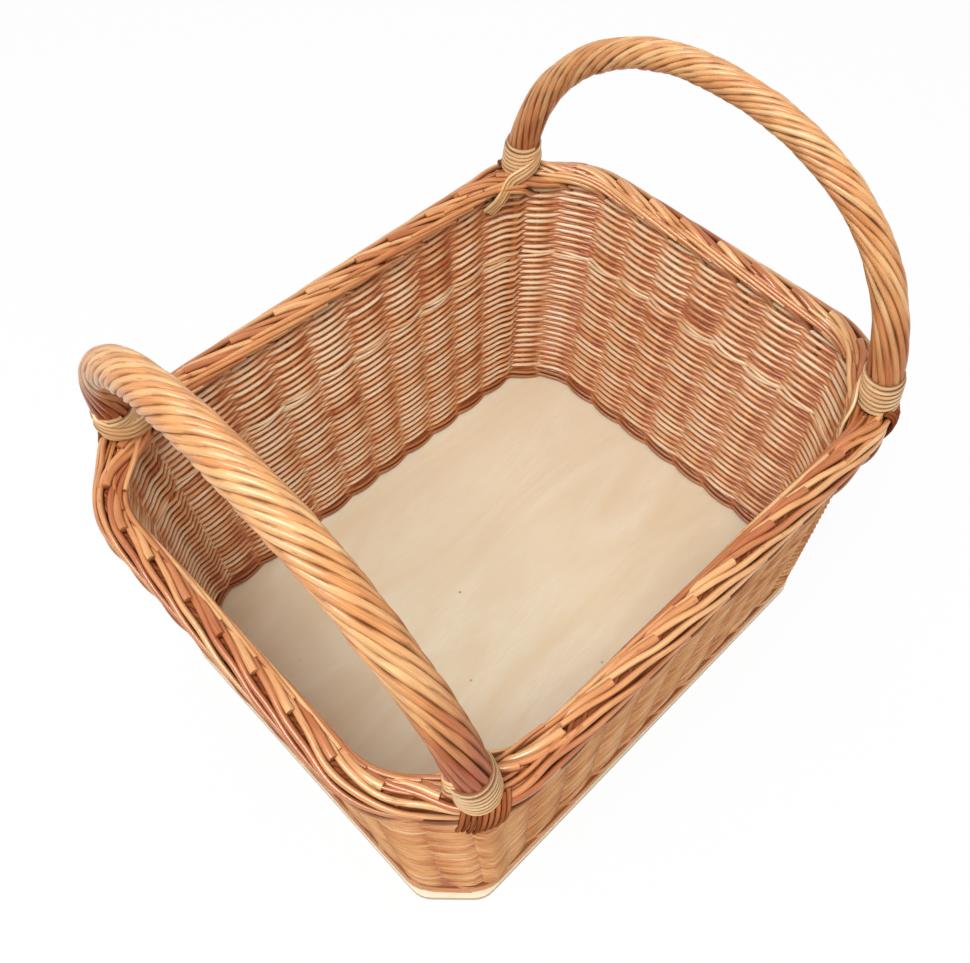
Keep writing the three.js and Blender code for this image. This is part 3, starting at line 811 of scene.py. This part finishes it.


# blush: how much redder and darker the strands get towards the feet, painted shade
def makeHandle(name, side, front, back, top, blush, cadNode):
    line = ropeLine(side, front, back)
    first, second = squareTo(line)
    s = np.linspace(0, 1, len(line))
    outer = handle["foot"] + (top - handle["foot"]) * np.sin(np.pi * s)
    twist = -handle["turns"] * 2 * np.pi * (s - handle["ease"] * np.sin(2 * np.pi * s) / (2 * np.pi))
    low = 1 - ease(np.minimum(s, 1 - s), *handle["low"])
    rods = []
    for k in range(handle["strands"]):
        size = handle["strand"] * outer / handle["strandFoot"] * chance.uniform(*handle["strandVaries"])
        reachWave = np.sin(s * chance.uniform(*handle["reachWaves"]) + chance.uniform(0, 6))
        reach = outer - size + handle["reachSway"] * reachWave
        turnWave = np.sin(s * chance.uniform(*handle["turnWaves"]) + k)
        angle = k / handle["strands"] * 2 * np.pi + twist + handle["turnSway"] * turnWave
        path = line + (first * np.cos(angle)[:, None] + second * np.sin(angle)[:, None]) * reach[:, None]
        # towards the feet the strands turn redder and darker: painted shade
        tone = chance.uniform(*handle["tones"]) + blush * low
        shade = handle["lowShade"] * low
        rods.append(rod(path, size, tint=tone, about=line, shade=shade, shadeFade=handle["shadeFade"]))
    for number, end in ((front, line[0]), (back, line[-1])):
        stem = wallAt(number, 0, np.linspace(handle["bowFrom"], handle["bowTo"], 10))
        rods.append(rod(np.vstack([stem, end, end + [0, 0, 4]]), handle["bow"], tint=handle["bowTint"]))
    piece = layRods(name, rods, sides=8, twist="MINIMUM")
    finish(piece, handleMaterial, "willow_handle", cadNode)
    return line


leftLine = makeHandle("leftRope", -1, 0, 31, handle["leftTop"], handle["leftFootShade"], "handle_left")
rightLine = makeHandle("rightRope", 1, 10, 21, handle["rightTop"], handle["rightFootShade"], "handle_right")

# Lashings: split cane wound round each handle foot, with a band crossing over the rim
lashing = {
    "turns": 7.0, "pitch": 4.2, "from": 281.0, "thick": 2.8, "wide": 4.2, "reach": 14.1, "steps": 28,
    "drawnIn": 1.5, "tilt": 1.6, "shadeFade": (0.2, 0.7), "footPoints": 60,
    "band": 4, "bandPitch": 3.2, "bandPoints": 40, "bandTop": 313.0, "bandBottom": 286.0, "bandBend": 1.3,
    "bandReach": 17.0, "bandAngles": (-30, 150), "bandSize": 0.9, "startDown": (7, 0.2), "startIn": (9, 0.22),
    "tuckStakes": (0.38, 0.5, 0.66, 0.86), "tuckOffsets": (-13.5, -14.5, -12.0, -5.5),
    "tuckHeights": (279, 270, 259, 249), "bandRise": 1.4, "bandTones": (0.15, 0.7),
    "tone": 0.3, "toneSway": 0.12,
}
caneSection = flatSection("caneSection", lashing["thick"], lashing["wide"])


def legAxis(line, fromBack, height):
    part = (line[::-1] if fromBack else line)[:lashing["footPoints"]]
    return np.column_stack([np.interp(height, part[:, 2], part[:, k]) for k in (0, 1)] + [height])


# four canes cross the winding on its inner side, go down over the rim and are tucked into the weave
def crossingBand(line, fromBack, leg, way):
    t = np.linspace(0, 1, 15)
    fall = 1 - (1 - t) ** lashing["bandBend"]
    down, downTill = lashing["startDown"]
    height = lashing["bandTop"] + (lashing["bandBottom"] - lashing["bandTop"]) * fall
    height -= down * (1 - ease(t, 0, downTill))
    axis = legAxis(line, fromBack, height)
    inward = -1.0 if fromBack else 1.0
    middle = 1.0 if line[0][0] < 0 else -1.0
    angle = np.radians(lashing["bandAngles"][0] + lashing["bandAngles"][1] * t)
    buried, buriedTill = lashing["startIn"]
    reach = lashing["bandReach"] - buried * (1 - ease(t, 0, buriedTill))
    sideways = -np.cos(angle) * middle * reach
    towards = np.sin(angle) * inward * reach
    wound = axis + np.column_stack([sideways, towards, lashing["bandRise"] * np.sin(np.pi * t)])
    numbers = leg + way * np.array(lashing["tuckStakes"])
    tucked = wallAt(numbers, lashing["tuckOffsets"], lashing["tuckHeights"])
    path = softened(evenly(np.vstack([wound, tucked]), lashing["bandPoints"]), 10)
    tangent = np.gradient(path, axis=0)
    tangent /= np.linalg.norm(tangent, axis=1)[:, None]
    level = np.clip(np.linspace(-0.2, 1.4, lashing["bandPoints"]), 0, 1)[:, None]
    radial = path - legAxis(line, fromBack, np.maximum(path[:, 2], lashing["from"]))
    radial[:, 2] = 0
    radial /= np.linalg.norm(radial, axis=1)[:, None]
    facing = radial * (1 - level) + np.array([0, inward, 0.3]) * level
    across = np.cross(tangent, facing)
    across /= np.linalg.norm(across, axis=1)[:, None]
    rods = []
    for k in range(lashing["band"]):
        shift = (k - (lashing["band"] - 1) / 2) * lashing["bandPitch"]
        tone = chance.uniform(*lashing["bandTones"])
        rods.append(rod(path + across * shift, lashing["bandSize"], tint=tone, about=path - facing * 6))
    return rods


def makeLashing(name, line, fromBack, leg, way, cadNode):
    side = 1.0 if fromBack else -1.0
    k = np.arange(int(lashing["turns"] * lashing["steps"]) + 1) / lashing["steps"]
    angle = k * 2 * np.pi - side * np.pi / 2
    height = lashing["from"] + k * lashing["pitch"]
    axis = legAxis(line, fromBack, height)
    tilt = lashing["tilt"] * np.sin(angle + 0.6)
    reach = lashing["reach"] - lashing["drawnIn"] * ease(k, lashing["turns"] - 1, lashing["turns"])
    path = axis + np.column_stack([np.cos(angle) * reach, np.sin(angle) * reach, tilt])
    tone = lashing["tone"] + lashing["toneSway"] * np.sin(k * 1.9)
    rods = [rod(path, 1.0, tint=tone, about=axis, shadeFade=lashing["shadeFade"])]
    rods += crossingBand(line, fromBack, leg, way)
    piece = layRods(name, rods, section=caneSection)
    finish(piece, caneMaterial, "cane_lashing", cadNode)


makeLashing("leftFrontLashing", leftLine, False, 0, 1, "lashing_left_front")
makeLashing("leftBackLashing", leftLine, True, 31, -1, "lashing_left_back")
makeLashing("rightFrontLashing", rightLine, False, 10, -1, "lashing_right_front")
makeLashing("rightBackLashing", rightLine, True, 21, 1, "lashing_right_back")
bpy.data.objects.remove(caneSection)

# the rope's rods run on below each lashing and end over the outside of the rim
fan = {
    "rods": 9, "radius": 1.75, "from": 0.06, "spread": 0.56, "slant": -0.2, "rounding": 8, "taper": 0.25,
    "offsets": (10, 17, 20.5, 20, 18), "heights": (283, 280, 271, 259, 248), "heightVaries": 1.2,
    "varies": (0.9, 1.15), "tones": (0.3, 0.9),
}


def makeFan(name, leg, way):
    rods = []
    t = np.linspace(0, 1, 17)
    marks = np.linspace(0, 1, len(fan["heights"]))
    for k in range(fan["rods"]):
        u = k / (fan["rods"] - 1) - 0.5
        numbers = leg + way * (fan["from"] + u * fan["spread"] + fan["slant"] * t)
        offset = np.interp(t, marks, fan["offsets"]) - fan["rounding"] * u * u
        height = np.interp(t, marks, fan["heights"]) + chance.normal(0, fan["heightVaries"]) * t
        size = fan["radius"] * chance.uniform(*fan["varies"]) * (1 - fan["taper"] * t)
        path = softened(wallAt(numbers, offset, height), 6)
        tone = chance.uniform(*fan["tones"])
        rods.append(rod(path, size, tint=tone, about=wallAt(numbers, offset - 6, height)))
    piece = layRods(name, rods, twist="MINIMUM")
    finish(piece, darkAndShadeMaterial, "willow_handle")


makeFan("leftFrontFan", 0, 1)
makeFan("rightFrontFan", 10, -1)
makeFan("rightBackFan", 21, 1)
makeFan("leftBackFan", 31, -1)

# Floor, light and camera
studio = {
    "world": 0.62, "key": 33.0, "keyAt": (-0.8, -0.45, 2.1), "keySize": 0.9,
    "sheen": 45.0, "sheenAt": (-1.0, 0.3, 1.95), "sheenSize": 1.2, "aim": (0, 0, 0.1),
    "paper": (0.45, 0.45, 0.45, 1), "paperGlow": 1.08, "paperSeen": 0.86,
    "floorRadius": 6.0, "floorDrop": 0.5,
}

ground = bmesh.new()
bmesh.ops.create_circle(ground, cap_ends=True, segments=64, radius=studio["floorRadius"])
bmesh.ops.translate(ground, verts=ground.verts, vec=(0, 0, -studio["floorDrop"] * mm))
groundMesh = bpy.data.meshes.new("studioFloor")
ground.to_mesh(groundMesh)
ground.free()
studioFloor = bpy.data.objects.new("studioFloor", groundMesh)
bpy.context.collection.objects.link(studioFloor)


# what the camera, mirror-like and clear surfaces see, and not what lights the basket
def seenDirectly(tree):
    rays = node(tree, "LightPath").outputs
    others = mathNode(tree, "MAXIMUM", rays["Is Glossy Ray"], rays["Is Transmission Ray"])
    return mathNode(tree, "MAXIMUM", rays["Is Camera Ray"], others)


def paperMaterial():
    made = bpy.data.materials.new("whitePaper")
    made.use_nodes = True
    tree = made.node_tree
    tree.nodes.clear()
    out = tree.nodes.new("ShaderNodeOutputMaterial")
    matte = node(tree, "BsdfDiffuse", {"Color": studio["paper"]})
    white = node(tree, "Emission", {"Color": (1, 1, 1, 1), "Strength": studio["paperGlow"]})
    seen = mathNode(tree, "MULTIPLY", seenDirectly(tree), studio["paperSeen"])
    mixed = node(tree, "MixShader", {0: seen})
    tree.links.new(matte.outputs[0], mixed.inputs[1])
    tree.links.new(white.outputs[0], mixed.inputs[2])
    tree.links.new(mixed.outputs[0], out.inputs[0])
    return made


studioFloor.data.materials.append(paperMaterial())

world = bpy.data.worlds.new("studioWorld")
bpy.context.scene.world = world
world.use_nodes = True
sky = world.node_tree
sky.nodes.clear()
skyOut = sky.nodes.new("ShaderNodeOutputWorld")
soft = node(sky, "Background", {"Color": (1, 1, 1, 1), "Strength": studio["world"]})
plain = node(sky, "Background", {"Color": (1, 1, 1, 1), "Strength": 1.0})
skyMix = node(sky, "MixShader", {0: seenDirectly(sky)})
sky.links.new(soft.outputs[0], skyMix.inputs[1])
sky.links.new(plain.outputs[0], skyMix.inputs[2])
sky.links.new(skyMix.outputs[0], skyOut.inputs[0])


def areaLight(name, power, place, size):
    data = bpy.data.lights.new(name, "AREA")
    data.shape = "DISK"
    data.size = size
    data.energy = power
    lamp = bpy.data.objects.new(name, data)
    bpy.context.collection.objects.link(lamp)
    lamp.location = place
    lamp.rotation_euler = (Vector(studio["aim"]) - Vector(place)).to_track_quat("-Z", "Y").to_euler()
    return lamp


areaLight("keyLamp", studio["key"], studio["keyAt"], studio["keySize"])
sheenLamp = areaLight("sheenLamp", studio["sheen"], studio["sheenAt"], studio["sheenSize"])
sheenLamp.visible_diffuse = False

# camera at the photograph's angle
shot = {
    "place": (-335.7, -322.85, 872.94), "azimuth": 225.59, "elevation": 54.52, "roll": -0.02,
    "focalPixels": 1035.93, "principal": (-0.91, -22.02), "frameWidth": 970, "sensor": 36.0, "clipEnd": 20,
}
a, e = math.radians(shot["azimuth"]), math.radians(shot["elevation"])
back = Vector((math.cos(a) * math.cos(e), math.sin(a) * math.cos(e), math.sin(e)))
right = Vector((0, 0, 1)).cross(back).normalized()
up = back.cross(right)
turned = Matrix((right, up, back)).transposed() @ Matrix.Rotation(math.radians(shot["roll"]), 3, "Z")
cameraData = bpy.data.cameras.new("photoCamera")
camera = bpy.data.objects.new("photoCamera", cameraData)
bpy.context.collection.objects.link(camera)
camera.matrix_world = Matrix.Translation(Vector(shot["place"]) * mm) @ turned.to_4x4()
cameraData.sensor_width = shot["sensor"]
cameraData.lens = shot["focalPixels"] * shot["sensor"] / shot["frameWidth"]
cameraData.shift_x = -shot["principal"][0] / shot["frameWidth"]
cameraData.shift_y = shot["principal"][1] / shot["frameWidth"]
cameraData.clip_end = shot["clipEnd"]
bpy.context.scene.camera = camera
bpy.context.scene.view_settings.view_transform = "Standard"
print("stage ready")
